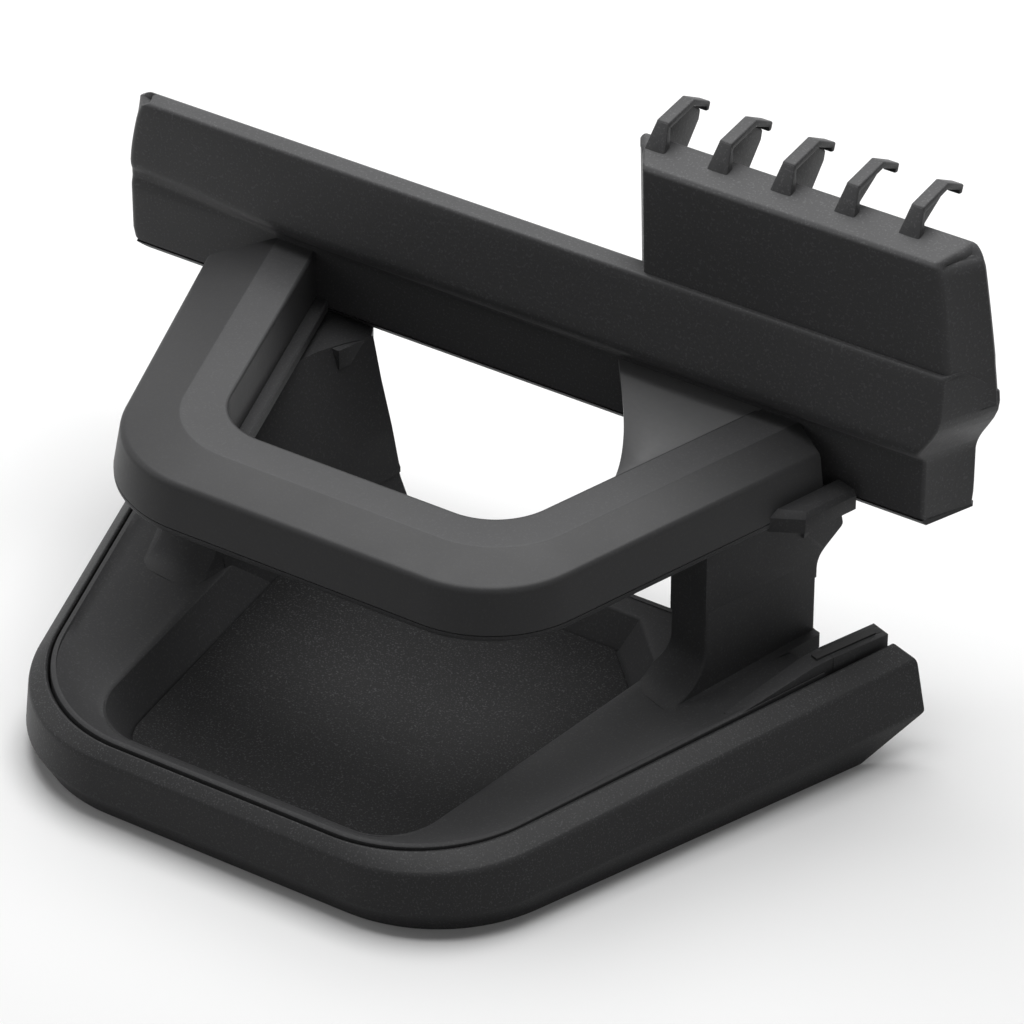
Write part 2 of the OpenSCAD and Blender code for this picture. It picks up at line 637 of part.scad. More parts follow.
module holder_frame() {
    color("#303031") difference() {
        union() {
            loft([u_band(ring_edge(ring_draft - 1.2), ring_inner(-lip_in), frame_z - ring_plate_t),
                u_band(ring_edge(ring_draft), ring_inner(-lip_in), frame_z - 1),
                u_band(ring_edge(ring_draft), ring_inner(-lip_in), frame_z)], band = true);
            loft([u_band(ring_inner(-clear), ring_inner(-lip_in), frame_z - 0.5),
                u_band(ring_inner(-clear), ring_inner(-lip_in), frame_z + 1)], band = true);
            difference() {
                loft([u_band(ring_inner(2 * wall), ring_inner(wall + clear), frame_z - 0.5),
                    u_band(ring_inner(2 * wall), ring_inner(wall + clear), frame_z + 5)], band = true);
                translate([-2 * far, bar_y - wall - clear, 0]) cube([4 * far, far, 2 * far]);
            }
            difference() {
                tray_solid(0);
                well(0, floor_z);
                difference() {
                    tray_solid(frame_wall);
                    well(frame_wall, floor_z - frame_wall);
                }
            }
            intersection() {
                tray_solid(0.5);
                for (p = base_at) translate([p[0], p[1], base_t + clear]) cylinder(d = boss_d, h = far);
            }
            right_pillar();
            difference() {
                left_pillar_body(0, left_rear);
                left_pillar_body(frame_wall, left_rear + 2);
            }
            left_infill(0);
            for (s = [-1, 1]) {
                rear_arm(s);
                rail(s);
            }
            for (x = [pillar_x - 28, -left_in - 32]) translate([x, bar_y - 12, bar_z - bracket_t])
                cube([25, bracket_d, bracket_t]);
        }
        for (s = [-1, 1]) rail_slot(s, 0, 8);
        rear_undercut(base_t + clear);
        arm_ends();
        for (p = base_at) translate([p[0], p[1], base_t - 1]) cylinder(d = pilot_d, h = screw_l);
        for (p = bracket_at) {
            translate([p[0], p[1], bar_z - bracket_t - 2]) cylinder(d = hole_d, h = bracket_t + 4);
            translate([p[0], p[1], bar_z - bracket_t - 2]) cylinder(d = seat_d, h = 2 + head_h);
        }
        for (p = ring_at) {
            translate([p[0], p[1], frame_z - 5]) cylinder(d = hole_d, h = 8);
            translate([p[0], p[1], frame_z - 5]) cylinder(d = seat_d, h = 5 - ring_plate_t + 0.8);
        }
    }
}

// Bumper outline at one height: extra width at the front, left and right
function bumper_line(front, left, right) = horseshoe(
    rim_front_y + front, rim_left + left, rim_half + right, t_left, t_right, rim_r, rail_rear);

function bumper_band(front, left, right) =
    concat(bumper_line(front, left, right), backwards(rim_line(0, rail_rear)));

// Space below the sloping underside of the tray's rear arms
module rear_undercut(z) {
    along_x(-3 * far, 6 * far)
        polygon([[rail_rear - 15.5, z - 0.01], [rail_rear + 0.01, z + 9.6],
            [rail_rear + far, z + 9.6], [rail_rear + far, z - 0.01]]);
}

module base_shell() {
    color("#262627") difference() {
        union() {
            loft([
                flat(bumper_band(bumper_w - foot_in, bumper_left - foot_in, bumper_right - foot_in), 0),
                flat(bumper_band(bumper_w, bumper_left, bumper_right), foot_h),
                lift(bumper_band(bumper_w - 1.2, bumper_left - 0.8, bumper_right - 2.7),
                    rim_front - crease_drop),
                lift(bumper_band(0.8, 0.6, 0.6), rim_front)], band = true);
            linear_extrude(base_t) polygon(horseshoe(rim_front_y + 0.5, rim_left + 0.5, rim_half + 0.5,
                t_rim_left, t_rim, rim_r, tray_rear + 2));
        }
        rear_undercut(0);
        for (p = base_at) {
            translate([p[0], p[1], -1]) cylinder(d = hole_d, h = base_t + 2);
            translate([p[0], p[1], -1]) cylinder(d = seat_d, h = 1 + head_h);
        }
    }
}

module floor_mat() {
    line = well_line(-well_in - mat_gap, -well_in_left - mat_gap);
    color("#1f1f20") difference() {
        loft([lift(line, floor_z), lift(line, floor_z + mat_t)]);
        left_infill(mat_gap);
    }
}

module rail_strip(s) {
    color("#141415") rail_slot(s, 0.1, 2.4);
}

module foam_pad(x) {
    color("#101010") translate([x, rear_y, bar_z + 4]) cube([pad_l, pad_t, lower_h - 5]);
}

// Screw with its head at the origin's lower side and its shank up along Z
module screw() {
    color("#8d8f92") difference() {
        union() {
            cylinder(d = head_d, h = head_h);
            cylinder(d = screw_d, h = head_h + screw_l - 1);
        }
        translate([0, 0, -0.01]) rotate_extrude($fn = 6) square([1.1, 1]);
    }
}
module back_screw(i) {
    p = back_at[i - 1];
    translate([p[0], rear_y, p[1]]) rotate([90, 0, 0]) screw();
}
module bracket_screw(i) {
    p = bracket_at[i - 1];
    translate([p[0], p[1], bar_z - bracket_t]) screw();
}
module ring_screw(i) {
    p = ring_at[i - 1];
    translate([p[0], p[1], frame_z - ring_plate_t - 1]) screw();
}
module base_screw(i) {
    p = base_at[i - 1];
    translate([p[0], p[1], 0]) screw();
}

front_cover();
back_plate();
ring_cover();
holder_frame();
base_shell();
floor_mat();
rail_strip(-1);  // rail_strip_left
rail_strip(1);  // rail_strip_right
foam_pad(end_in / 2 - bar_left);  // foam_pad_left
foam_pad(-(end_in + pad_l) / 2);  // foam_pad_middle
foam_pad(bar_right - end_in - pad_l);  // foam_pad_right
for (i = [1:6]) back_screw(i);
for (i = [1:4]) bracket_screw(i);
for (i = [1:4]) ring_screw(i);
for (i = [1:6]) base_screw(i);
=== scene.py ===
"""Looks for the dashboard cup holder: a long hooked bar, a ring and a broad tray in black and grey plastic.

Sizes are in millimetres up to the moment a mesh is made, which scales them to metres.
The frame is the CAD row's own: X along the bar, Y back to the dashboard, Z up.
"""
import math

import bmesh
import bpy
import numpy as np
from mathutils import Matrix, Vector


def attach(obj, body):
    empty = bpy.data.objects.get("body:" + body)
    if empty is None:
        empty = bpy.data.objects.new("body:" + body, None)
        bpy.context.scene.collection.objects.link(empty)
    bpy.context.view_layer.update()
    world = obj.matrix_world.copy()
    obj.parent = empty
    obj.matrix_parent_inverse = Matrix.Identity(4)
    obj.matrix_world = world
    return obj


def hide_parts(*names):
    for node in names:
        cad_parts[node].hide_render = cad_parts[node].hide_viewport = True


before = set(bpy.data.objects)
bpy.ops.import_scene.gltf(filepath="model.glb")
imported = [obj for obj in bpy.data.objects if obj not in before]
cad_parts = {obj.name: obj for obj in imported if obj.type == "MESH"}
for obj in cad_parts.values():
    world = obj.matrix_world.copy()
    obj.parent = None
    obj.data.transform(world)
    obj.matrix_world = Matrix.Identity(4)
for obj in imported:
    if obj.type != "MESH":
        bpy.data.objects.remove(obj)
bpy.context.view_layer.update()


# Bar and plate. The front cover is one black moulding with a fine grain: a long bar with a recessed
# lower face and a sloping rear, and a plate that rises from its right half. It screws to the back plate.
# The overhang starts at fold_z, the ends sweep outward to the rear, and the cover ends at lip_z, above
# the back plate's edge.
ring_top = 78.0
bar_y, bar_z = 40.0, 60.2
fold_z = 82.5
bar_top, plate_top = 105.1, 135.3
rear_y = 54.8
sweep_tan = math.tan(math.radians(22))
lip_z = bar_z + 1.7
bar_left, low_round, top_round = -124.5, 5, 2.4
neck_x, bulge_x = 112.9, 118.8
plate_left, plate_corner = 31.0, 2.2


class Maths:
    """A shader value that adds, multiplies and mixes by writing nodes."""

    def __init__(self, tree, socket):
        self.tree = tree
        self.socket = socket

    def join(self, kind, other):
        node = self.tree.nodes.new("ShaderNodeMath")
        node.operation = kind
        self.tree.links.new(self.socket, node.inputs[0])
        if isinstance(other, Maths):
            self.tree.links.new(other.socket, node.inputs[1])
        else:
            node.inputs[1].default_value = other
        return Maths(self.tree, node.outputs[0])

    def __add__(self, other):
        return self.join("ADD", other)

    def __sub__(self, other):
        return self.join("SUBTRACT", other)

    def __mul__(self, other):
        return self.join("MULTIPLY", other)

    def __rsub__(self, other):
        return self * -1 + other

    __radd__ = __add__
    __rmul__ = __mul__

    def above(self, edge, width):
        """0 below edge and 1 above edge + width, with a straight ramp between."""
        ramp = (self - edge) * (1 / width)
        ramp.socket.node.use_clamp = True
        return ramp


class Surface:
    """One material's node tree, with its Principled shader."""

    def __init__(self, name):
        self.material = bpy.data.materials.new(name)
        self.material.use_nodes = True
        self.tree = self.material.node_tree
        self.shader = self.tree.nodes["Principled BSDF"]
        self.place = self.add("ShaderNodeTexCoord").outputs["Object"]

    def add(self, kind, inputs=(), **settings):
        node = self.tree.nodes.new(kind)
        for key, value in settings.items():
            setattr(node, key, value)
        for key, value in dict(inputs).items():
            if hasattr(value, "socket"):
                value = value.socket
            if isinstance(value, bpy.types.NodeSocket):
                self.tree.links.new(value, node.inputs[key])
            else:
                node.inputs[key].default_value = value
        return node

    def noise(self, per_mm, detail=2.0):
        inputs = {"Vector": self.place, "Scale": per_mm * 1000, "Detail": detail}
        node = self.add("ShaderNodeTexNoise", inputs)
        return Maths(self.tree, node.outputs["Fac"])

    def cells(self, per_mm):
        node = self.add("ShaderNodeTexVoronoi", {"Vector": self.place, "Scale": per_mm * 1000})
        return Maths(self.tree, node.outputs["Distance"])

    def upward(self):
        """How level a face is: 1 where it faces straight up."""
        normal = self.add("ShaderNodeNewGeometry").outputs["Normal"]
        split = self.add("ShaderNodeSeparateXYZ", {"Vector": normal})
        return Maths(self.tree, split.outputs["Z"])

    def drive(self, socket, value):
        value = getattr(value, "socket", value)
        self.tree.links.new(value, self.shader.inputs[socket])

    def tint(self, colour, level):
        """Drives the base colour with one colour times a level."""
        node = self.add("ShaderNodeVectorMath", {0: colour, "Scale": level}, operation="SCALE")
        self.drive("Base Color", node.outputs[0])

    def bump(self, height, depth_mm, strength):
        inputs = {"Height": height, "Distance": depth_mm / 1000, "Strength": strength}
        self.drive("Normal", self.add("ShaderNodeBump", inputs).outputs["Normal"])


def plastic(name, colour, roughness, grain_per_mm, grain_mm, speckle=0.0, speckle_per_mm=3.0, slopes=1.0,
            shine=0.22):
    """Moulded plastic or rubber: a colour with slow drift and fine speckle, roughness that varies at two
    scales, and a bump for the mould's grain. grain_mm is the grain's depth, speckle lightens scattered
    grains, and slopes below 1 paints shade into the colour: every face that isn't level is darkened to that
    share, as painted shade for the light that falls less on slopes and walls."""
    made = Surface(name)
    drift = made.noise(0.02, 3.0)
    grain = made.noise(grain_per_mm, 3.0)
    spots = made.noise(speckle_per_mm, 1.0).above(0.6, 0.06) * speckle
    level = drift * 0.24 + grain * 0.16 + spots + 0.8
    # Painted shade: faces that are not level take a darker colour, standing in for the light that reaches
    # them less.
    if slopes != 1.0:
        level = level * (made.upward().above(0.994, 0.003) * (1 - slopes) + slopes)
    made.tint(colour, level)
    made.drive("Roughness", made.noise(0.06) * 0.1 + grain * 0.08 + (roughness - 0.09))
    made.bump(grain + made.cells(grain_per_mm * 0.7) * 0.5, grain_mm, 0.8)
    made.shader.inputs["Specular IOR Level"].default_value = shine
    return made.material


grained_black = plastic("grained_black", (0.055, 0.055, 0.0565), 0.5, 1.1, 0.05, speckle=0.5,
                        speckle_per_mm=1.6)


def right_x(y, z):
    """Right end of the bar: it bulges above the neck, then tapers up to the plate's corner."""
    neck, bulge = fold_z - 5, fold_z + 11
    if z < neck:
        x = neck_x
    elif z < bulge:
        x = neck_x + (bulge_x - neck_x) * (1 - math.cos(math.pi * (z - neck) / (bulge - neck))) / 2
    else:
        x = bulge_x - 6.2 * ((z - bulge) / (plate_top - bulge)) ** 1.2
    return x + sweep_tan * (y - bar_y)


def left_x(y, z):
    """Left end of the bar: rounded at the bottom, drawn in towards the top and rounded there again."""
    low = max(0.0, low_round - (z - bar_z))
    high = max(0.0, (z - fold_z - 3) / (bar_top - fold_z - 3))
    top = min(top_round, max(0.0, z - bar_top + top_round))
    low_in = low_round - math.sqrt(low_round**2 - low * low)
    top_in = top_round - math.sqrt(top_round**2 - top * top)
    return bar_left + low_in + 4.2 * high**1.4 + top_in - sweep_tan * (y - bar_y)


def plate_left_x(y, z):
    """Left end of the plate, cut back towards the rear and a little wider at the foot."""
    return plate_left - math.tan(math.radians(30)) * (y - bar_y) + 0.8 * (plate_top - z) / 30


def skin(rows, around=False, closed=True, caps=True):
    """Points and faces of a surface through rows of points. around joins the last row to the first,
    closed joins each row's ends, and caps closes what stays open."""
    count, n = len(rows), len(rows[0])
    points = [p for row in rows for p in row]
    faces = []
    for k in range(count if around else count - 1):
        for i in range(n if closed else n - 1):
            a, b = k * n, (k + 1) % count * n
            j = (i + 1) % n
            faces.append((a + i, a + j, b + j, b + i))
    if caps and around and not closed:
        faces.append([k * n for k in range(count)])
        faces.append([k * n + n - 1 for k in range(count)][::-1])
    if caps and closed and not around:
        faces.append(list(range(n))[::-1])
        faces.append([(count - 1) * n + i for i in range(n)])
    return points, faces


def upright(front, rear, left, right, edges, columns=18):
    """A body between a front line and a rear line of (y, z) points, sampled at the front's heights, whose
    ends are given as functions of (y, z) and eased by the left and right edges, in five columns each."""
    end_columns = 5
    z = front[:, 1]
    back = np.interp(z, rear[:, 1], rear[:, 0])
    loop = [(y, h) for y, h in front] + [(y, h) for y, h in zip(back, z)][::-1]
    n = len(loop)
    middle = np.mean(loop, axis=0)
    rows = []
    for s in range(columns + 1):
        turn = min(s, columns - s, end_columns) / end_columns * math.pi / 2
        edge = edges[2 * s > columns]
        inset = edge * (1 - math.sin(turn))
        along = edge * (1 - math.cos(turn))
        row = []
        for y, h in loop:
            y_in = y + np.sign(middle[0] - y) * min(inset, abs(middle[0] - y) * 0.5)
            h_in = h - inset * min(max((h - z[-1]) / (2 * edge) + 1, 0), 1)
            x0, x1 = left(y, h) + along, right(y, h) - along
            t = min(max((s - end_columns) / (columns - 2 * end_columns), 0), 1)
            row.append((x0 + (x1 - x0) * t, y_in, h_in))
        rows.append(row)
    points, faces = skin(rows, caps=False)
    half = n // 2
    for start in (0, columns * n):
        for i in range(half - 1):
            quad = (start + i, start + i + 1, start + n - 2 - i, start + n - 1 - i)
            faces.append(quad if start == 0 else quad[::-1])
    return points, faces


def eased(points, ease, n=5):
    """The polyline through the points, with each inner corner cut back by its ease and curved."""
    points = [np.array(p, float) for p in points]
    out = [points[0]]
    for a, b, c, d in zip(points, points[1:], points[2:], ease):
        if d == 0:
            out.append(b)
            continue
        start = b + (a - b) / np.linalg.norm(a - b) * d
        end = b + (c - b) / np.linalg.norm(c - b) * d
        for t in np.linspace(0, 1, n):
            out.append((1 - t) ** 2 * start + 2 * t * (1 - t) * b + t * t * end)
    return np.array(out + [points[-1]])


def tall(points, steps):
    """The line with more points on its long straight stretches, so that the curved ends stay smooth."""
    out = [points[0]]
    for a, b in zip(points, points[1:]):
        n = max(1, int(np.linalg.norm(b - a) / steps))
        out += [a + (b - a) * (i + 1) / n for i in range(n)]
    return np.array(out)


def plate_right_x(y, z):
    """Right end of the plate: the bar's line, a little inside it below and rounded at the top corner."""
    high = min(max(0, (z - plate_top + 6) / 6), 1)
    inside = 0.15 * min(max(bar_top + 1 - z, 0), 1)
    return right_x(y, z) - inside - plate_corner * (1 - math.sqrt(1 - high * high))


def faded(body):
    """The bar's body with its overhang fading out towards the left end."""
    points, faces = body
    out = []
    for x, y, z in points:
        along = min(max((x + 123.8) / 64, 0), 1)
        share = np.interp(z, [fold_z - 4, fold_z, bar_top - 1], [0, 1, 0.1]) * (y < 44)
        back = share * 4.5 * (1 - along * along * (3 - 2 * along))
        out.append((x - sweep_tan * back * (1 - along), y + back, z))
    return out, faces


def join(*parts):
    """One list of points and one of faces from several."""
    points, faces = [], []
    for more, sides in parts:
        faces += [[i + len(points) for i in side] for side in sides]
        points += list(more)
    return points, faces


def smooth(piece):
    """Points the normals outward and shades the mesh smooth, except over edges that bend more."""
    work = bmesh.new()
    work.from_mesh(piece.data)
    bmesh.ops.remove_doubles(work, verts=work.verts, dist=1e-6)
    bmesh.ops.recalc_face_normals(work, faces=work.faces)
    work.to_mesh(piece.data)
    work.free()
    piece.data.shade_smooth()
    piece.data.set_sharp_from_angle(angle=math.radians(32))


def make(name, points, faces, material):
    """A mesh object from points in mm."""
    mesh = bpy.data.meshes.new(name)
    mesh.from_pydata([tuple(np.array(p) / 1000) for p in points], [], faces)
    mesh.validate()
    mesh.materials.append(material)
    piece = bpy.data.objects.new(name, mesh)
    bpy.context.scene.collection.objects.link(piece)
    smooth(piece)
    return piece


# A level top still rises by a hair, since upright() looks the rear line up by height.
hair = 0.001
bar_front = eased([(bar_y + 0.6, lip_z), (bar_y, lip_z + 0.6), (bar_y, fold_z - 2.8), (35.4, fold_z + 0.6),
                   (39.3, bar_top), (42, bar_top + hair)], [0.4, 1.8, 2.8, 1.0])
bar_rear = np.array([(rear_y - 0.4, lip_z), (rear_y, 66), (rear_y, bar_top - 7.8), (45.6, bar_top - 0.4),
                     (44.6, bar_top + hair)])
plate_front = eased([(40.3, bar_top - 12), (41.75, plate_top - 2.1), (42.9, plate_top - 1.2),
                     (48, plate_top - 0.68), (rear_y - 0.9, plate_top)], [0.5, 0.5, 0.1])
plate_rear = np.array([(rear_y, bar_top - 13), (rear_y, plate_top - 0.6), (rear_y - 0.3, plate_top - 0.2),
                       (rear_y - 0.8, plate_top + hair)])

bar_body = upright(tall(bar_front, 2.5), bar_rear, left_x, right_x, (2.4, 1.2), 60)
plate_body = upright(tall(plate_front, 2.5), plate_rear, plate_left_x, plate_right_x, (1.2, 2.2))
cover = make("front_cover_skin", *join(faded(bar_body), plate_body), grained_black)


# Claws. Five hooks stand on the plate's top edge, moulded with the cover: a wide foot leans back, an arm
# runs level over the dashboard's edge and droops at its tip, and a thin web stiffens it from below. The
# first three have a web down to the plate's rear face, and the last two a short one in the bend.
claw_pitch, first_claw = 17.8, 29.4
claw_count, deep_count = 5, 3
arm_half, web_half, claw_edge = 1.8, 0.7, 0.45
claw_y = rear_y
foot, bend = (claw_y - 6.8, 133.6), (claw_y - 2.1, 141.2)
reach, tip = (claw_y + 9.7, 142.1), (claw_y + 17.4, 137.7)
arm_view = [foot, bend, reach, tip, (tip[0] - 0.8, tip[1] - 2.2), (tip[0] - 2.2, tip[1] - 1.8),
            (tip[0] - 2, tip[1] - 0.6), (reach[0] - 0.3, reach[1] - 1.9), (bend[0] + 1, bend[1] - 1.9),
            (foot[0] + 3, foot[1])]
web_view = [(foot[0] + 2, foot[1]), (bend[0] + 1, bend[1] - 1.5), (reach[0] - 0.3, reach[1] - 1.5),
            (tip[0] - 3, tip[1] - 1.1), (tip[0] - 3.6, tip[1] - 3.6), (claw_y + 8.7, plate_top - 6.5),
            (claw_y + 0.3, plate_top - 10), (claw_y + 0.3, foot[1])]
small_view = [(foot[0] + 2, foot[1]), (bend[0] + 1, bend[1] - 1.5), (reach[0] - 0.3, reach[1] - 1.5),
              (reach[0] - 1.5, reach[1] - 3.6), (foot[0] + 6.4, foot[1] + 0.8), (foot[0] + 6, foot[1])]
stem = [(bend[0] - 0.2, bend[1] - 0.1), (foot[0] + 0.1, foot[1]), (foot[0] + 3.2, foot[1]),
        (bend[0] + 0.9, bend[1] - 1.7)]
stem_half = [1.7, 3.1, 3.1, 1.7]
stem_block = ([(s * w, y, z) for s in (-1, 1) for (y, z), w in zip(stem, stem_half)],
              [(0, 1, 2, 3), (7, 6, 5, 4), (0, 4, 5, 1), (1, 5, 6, 2), (2, 6, 7, 3), (3, 7, 4, 0)])


def slab(side_view, x0, x1):
    """A side view of (y, z) points drawn out between two places along X."""
    return skin([[(x0, y, z) for y, z in side_view], [(x1, y, z) for y, z in side_view]])


def bake(piece):
    """Replaces a piece's mesh by what its modifiers make of it."""
    bpy.context.view_layer.update()
    made = bpy.data.meshes.new_from_object(piece.evaluated_get(bpy.context.evaluated_depsgraph_get()))
    piece.modifiers.clear()
    piece.data = made


def bevelled(name, parts, material, width):
    """A piece from plain solids whose edges are then rounded to the width, in mm."""
    piece = make(name, *join(*parts), material)
    step = piece.modifiers.new("edges", "BEVEL")
    step.width = width / 1000
    step.segments = 3
    step.limit_method = "ANGLE"
    step.angle_limit = math.radians(28)
    bake(piece)
    smooth(piece)
    return piece


def one_claw(name, web):
    """A single claw at X = 0, with the given side view for its web."""
    solids = [slab(arm_view, -arm_half, arm_half), slab(web, -web_half, web_half), stem_block]
    return bevelled(name, solids, grained_black, claw_edge)


def repeated(name, pattern, count, step, start, material):
    """A row of copies of a piece, made by Geometry Nodes and kept as one mesh."""
    tree = bpy.data.node_groups.new(name, "GeometryNodeTree")
    tree.interface.new_socket("Pattern", in_out="INPUT", socket_type="NodeSocketObject")
    tree.interface.new_socket("Count", in_out="INPUT", socket_type="NodeSocketInt")
    tree.interface.new_socket("Step", in_out="INPUT", socket_type="NodeSocketVector")
    tree.interface.new_socket("Start", in_out="INPUT", socket_type="NodeSocketVector")
    tree.interface.new_socket("Material", in_out="INPUT", socket_type="NodeSocketMaterial")
    tree.interface.new_socket("Geometry", in_out="OUTPUT", socket_type="NodeSocketGeometry")
    add = tree.nodes.new
    given, made = add("NodeGroupInput"), add("NodeGroupOutput")
    line, info = add("GeometryNodeMeshLine"), add("GeometryNodeObjectInfo")
    copies, real = add("GeometryNodeInstanceOnPoints"), add("GeometryNodeRealizeInstances")
    paint = add("GeometryNodeSetMaterial")
    for source, target in (
            (given.outputs["Count"], line.inputs["Count"]),
            (given.outputs["Start"], line.inputs["Start Location"]),
            (given.outputs["Step"], line.inputs["Offset"]),
            (given.outputs["Pattern"], info.inputs["Object"]),
            (line.outputs["Mesh"], copies.inputs["Points"]),
            (info.outputs["Geometry"], copies.inputs["Instance"]),
            (copies.outputs["Instances"], real.inputs["Geometry"]),
            (real.outputs["Geometry"], paint.inputs["Geometry"]),
            (given.outputs["Material"], paint.inputs["Material"]),
            (paint.outputs["Geometry"], made.inputs["Geometry"])):
        tree.links.new(source, target)
    piece = bpy.data.objects.new(name, bpy.data.meshes.new(name))
    bpy.context.scene.collection.objects.link(piece)
    nodes = piece.modifiers.new("row", "NODES")
    nodes.node_group = tree
    values = {"Pattern": pattern, "Count": count, "Step": step, "Start": start, "Material": material}
    for item in tree.interface.items_tree:
        if item.in_out == "INPUT":
            nodes[item.identifier] = values[item.name]
    bake(piece)
    bpy.data.objects.remove(pattern)
    return piece


def claw_row(name, web, first, count):
    """The claws from the given place in the row, made as one piece."""
    start = ((first_claw + first * claw_pitch) / 1000, 0, 0)
    row = repeated(name, one_claw("claw", web), count, (claw_pitch / 1000, 0, 0), start, grained_black)
    smooth(row)
    return row


claws = claw_row("claw_row", web_view, 0, deep_count)
small_claws = claw_row("small_claw_row", small_view, deep_count, claw_count - deep_count)
for piece in (cover, claws, small_claws):
    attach(piece, "root")
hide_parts("front_cover")


# Ring. The grey ring cover clips over the frame: a flat band round the cup opening, a slope that is wider
# on the left arm, and a slightly drafted wall. Its arms end in slanted faces just short of the bar.
open_front, open_half, open_r = 37.6, 53.2, 18.0
ring_flare = math.radians(17.2)
edge_flare = math.radians(19.1)
band = 11.2
slopes = {"front": 13.0, "left": 16.6, "right": 10.5}
frame_z = ring_top - 14.6

# The ring carries painted shade: slopes=0.6 colours every face that isn't level 0.6 times as light as the
# level band.
satin_grey = plastic("satin_grey", (0.052, 0.052, 0.0535), 0.45, 0.8, 0.02, speckle=0.2,
                     speckle_per_mm=1.8, slopes=0.6)


def corner(front, half, flare, r, side, n):
    """Front corner arc of an outline that widens by flare, from the side to the front."""
    yc = r - front
    xc = half + math.tan(flare) * yc - r / math.cos(flare)
    turn = np.linspace(math.pi / 2 - flare, 0, n) - math.pi / 2
    return [(side * (xc + r * math.cos(q)), yc + r * math.sin(q)) for q in turn]


def horseshoe(front, left, right, flares, r, rears, more_left=0.0):
    """Outline from the rear left round the front to the rear right, with ten steps along each arm. r is the
    front corners' radius, larger on the left by more_left."""
    arcs = corner(front, left, flares[0], r + more_left, -1, 28)
    arcs += corner(front, right, flares[1], r, 1, 28)[::-1]
    start = np.array((-(left + math.tan(flares[0]) * rears[0]), rears[0]))
    end = np.array((right + math.tan(flares[1]) * rears[1], rears[1]))
    steps = np.linspace(0, 1, 11)[:, None]
    first, last = np.array(arcs[0]), np.array(arcs[-1])
    return np.vstack([start + (first - start) * steps[:-1], arcs, last + (end - last) * steps[1:]])


def flat(outline, z):
    """A level row of points from an outline."""
    return np.column_stack([outline, np.full(len(outline), z)])


def arm_end(half, t, side):
    """Where an arm's line stops: at the bar inside the band, and at the slanted end outside it. The slants
    are the ends' slopes in plan."""
    left_slant, right_slant = 34 / 32, 11.5 / 31
    if side < 0:
        y = (bar_y - (half - 78) * left_slant) / (1 + t * left_slant)
    elif half + t * bar_y <= 79:
        y = bar_y
    else:
        y = (bar_y - 2.5 - (half - 79) * right_slant) / (1 + t * right_slant)
    return min(bar_y - 0.05, y)


def ring_row(b, f, z):
    """One line of the ring: b mm out from the opening and a share f of the slope further out."""
    c = math.cos(ring_flare)
    t_right = math.tan(ring_flare)
    t_left = t_right + f * (math.tan(edge_flare) - t_right)
    left = open_half + (b + f * slopes["left"]) / c - (t_left - t_right) * bar_y
    right = open_half + (b + f * slopes["right"]) / c
    ends = arm_end(left, t_left, -1), arm_end(right, t_right, 1)
    r = max(open_r + b * 0.625 + f * 4, 2)
    front = open_front + b + f * slopes["front"]
    return flat(horseshoe(front, left, right, (math.atan(t_left), ring_flare), r, ends, more_left=4 * f), z)


def ring_section():
    """The cover's cross-section as (b, f, z), with the corners eased in real widths."""
    wide = slopes["front"]
    inner_z = ring_top - 13.4
    corners = [(4, 0, frame_z + 0.02), (band + 1.8, wide, frame_z + 0.02), (band + 2, wide, frame_z + 0.3),
               (band, wide, ring_top - 2.7), (band, 0, ring_top), (0, 0, ring_top), (0, 0, inner_z),
               (4, 0, inner_z)]
    ease = [0.1, 0.2, 1.4, 0.7, 0.9, 0.4]
    return [(b, f / wide, z) for b, f, z in eased(corners, ease, 7)]


ring_rows = [ring_row(*p) for p in ring_section()]
ring = make("ring_cover_skin", *skin(ring_rows, around=True, closed=False), satin_grey)


# Corner web. It fills the ring's rear right corner: a thin dished sheet from the arm to the bar, smoother
# than the ring, with a curved free edge and a low lip along the bar. Its grey is painted about twice as
# light as the ring's, as painted light that stands in for the light falling on this corner.
web_front, web_rear, web_sheet = -3, bar_y - 0.1, 1.8

# Painted light: the ring's grey, painted twice as light to show the corner lit.
painted_light_web_grey = plastic("painted_light_web_grey", (0.102, 0.102, 0.1035), 0.45, 0.8, 0.02)


def web_point(s, t):
    """s runs from the free edge to the arm, t from the front tip to the bar. The free edge is a curve with
    the three control points a, b and c, and k is where it passes y."""
    y = web_front + (web_rear - web_front) * t
    a, b, c = np.array((51.8, web_front)), np.array((46.5, 12)), np.array((25.5, web_rear))
    k = np.roots([a[1] - 2 * b[1] + c[1], 2 * (b[1] - a[1]), a[1] - y])
    k = min(max([r.real for r in k if -1e-6 <= r.real <= 1 + 1e-6] or [1.0]), 1.0)
    edge = (1 - k) ** 2 * a[0] + 2 * k * (1 - k) * b[0] + k * k * c[0]
    arm = open_half + math.tan(ring_flare) * y + 1.2
    x = edge + (arm - edge) * s
    dish = 2.6 * math.sin(math.pi * min(max(s, 0), 1)) ** 0.8 * (1 - t) * min(1, 4 * t)
    lip = 0.9 * max(0, (t - 0.94) / 0.06) ** 0.5
    return x, y, ring_top - 0.7 - dish + lip


upper = [[web_point(s, t) for s in np.linspace(0, 1, 15)] for t in np.linspace(0.0, 1, 40)]
lower = [[(x, y, z - web_sheet) for x, y, z in row] for row in upper]
web = make("corner_web", *skin([a + b[::-1] for a, b in zip(upper, lower)]), painted_light_web_grey)
for piece in (ring, web):
    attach(piece, "root")
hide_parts("ring_cover")


